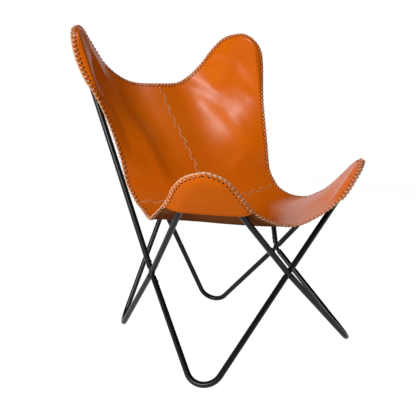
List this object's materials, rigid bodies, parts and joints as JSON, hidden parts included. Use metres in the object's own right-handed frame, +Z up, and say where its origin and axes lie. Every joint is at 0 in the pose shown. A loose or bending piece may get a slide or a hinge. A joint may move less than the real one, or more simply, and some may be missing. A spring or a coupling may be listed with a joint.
{
  "type": "butterfly sling chair",
  "caption": "Butterfly sling chair: a leather sling with corner pockets hung on a knock-down frame of bent black steel tube.",
  "frame": {"origin": "on the floor under the middle of the chair's bounding box", "axes": "+X to the sitter's left, -Y where the sitter faces, +Z up"},
  "size_m": [0.6958, 0.6618, 0.9018],
  "materials": {
    "frame_black": "satin black powder coat",
    "screw_steel": "dark zinc-plated round heads",
    "sling_leather": "smooth tan saddle leather with a soft gloss"
  },
  "bodies": {
    "root": {"top_loop_back_right": "frame_black", "top_loop_front_right": "frame_black", "leg_front_right": "frame_black", "leg_back_right": "frame_black", "top_loop_back_left": "frame_black", "top_loop_front_left": "frame_black", "leg_front_left": "frame_black", "leg_back_left": "frame_black", "screw_right_top_loop_back_right": "screw_steel", "screw_right_top_loop_front_right": "screw_steel", "screw_right_leg_front_right": "screw_steel", "screw_right_leg_back_right": "screw_steel", "cross_joint_right": "frame_black", "screw_back_top_loop_back_right": "screw_steel", "screw_back_leg_back_right": "screw_steel", "screw_back_top_loop_back_left": "screw_steel", "screw_back_leg_back_left": "screw_steel", "cross_joint_back": "frame_black", "screw_front_top_loop_front_right": "screw_steel", "screw_front_leg_front_right": "screw_steel", "screw_front_top_loop_front_left": "screw_steel", "screw_front_leg_front_left": "screw_steel", "cross_joint_front": "frame_black", "screw_left_top_loop_back_left": "screw_steel", "screw_left_top_loop_front_left": "screw_steel", "screw_left_leg_front_left": "screw_steel", "screw_left_leg_back_left": "screw_steel", "cross_joint_left": "frame_black", "back_panel_left": "sling_leather", "back_panel_right": "sling_leather", "seat_panel_left": "sling_leather", "seat_panel_right": "sling_leather", "back_pocket_left": "sling_leather", "back_pocket_right": "sling_leather", "front_pocket_left": "sling_leather", "front_pocket_right": "sling_leather"}
  },
  "joints": []
}
